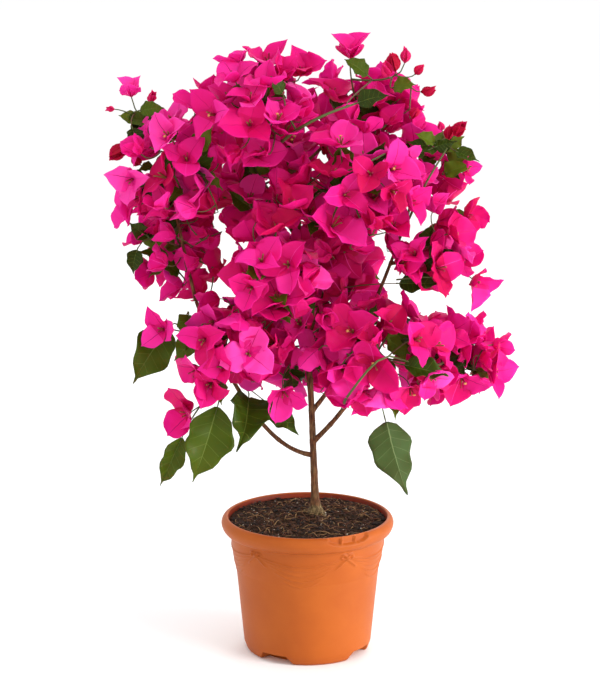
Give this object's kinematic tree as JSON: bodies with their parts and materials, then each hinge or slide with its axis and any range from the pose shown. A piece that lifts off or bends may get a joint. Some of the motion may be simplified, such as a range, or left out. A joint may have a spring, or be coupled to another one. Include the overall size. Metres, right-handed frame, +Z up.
{
  "type": "potted bougainvillea bush",
  "caption": "Flowering bougainvillea bush with magenta bracts on a slender forked stem, standing in a round plastic nursery pot.",
  "frame": {"origin": "middle of the pot's flat underside, on the surface that it stands on", "axes": "+Z up along the stem; -Y is the side that the bush is turned to, +X is to the right as seen from there"},
  "size_m": [0.3948, 0.2127, 0.6137],
  "materials": {
    "pot": "terracotta-coloured matt plastic with a fine satin sheen",
    "soil": "dark fibrous peat, moist",
    "bark": "grey-brown bark on the stem, greener towards the tips",
    "foliage": "thin papery magenta bracts among matt green leaves"
  },
  "bodies": {
    "root": {"pot": "pot", "soil": "soil", "trunk": "bark", "bough_left": "bark", "bough_left_up": "bark", "bough_right": "bark", "bough_right_out": "bark", "bough_right_up": "bark", "bough_crown_right": "bark", "bough_upper_left": "bark", "bough_upper_right": "bark", "bough_flank_left": "bark", "bough_heart": "bark", "bough_middle": "bark", "bough_flank_right": "bark", "bough_lower_left": "bark", "bough_lower_middle": "bark", "bough_lower_right": "bark", "mass_crown_left": "foliage", "mass_crown_right": "foliage", "mass_shoulder_left": "foliage", "mass_upper_left": "foliage", "mass_upper_right": "foliage", "mass_shoot_right": "foliage", "mass_flank_left": "foliage", "mass_heart": "foliage", "mass_middle": "foliage", "mass_flank_right": "foliage", "mass_lower_left": "foliage", "mass_lower_middle": "foliage", "mass_lower_right": "foliage", "mass_far_right": "foliage"}
  },
  "joints": []
}
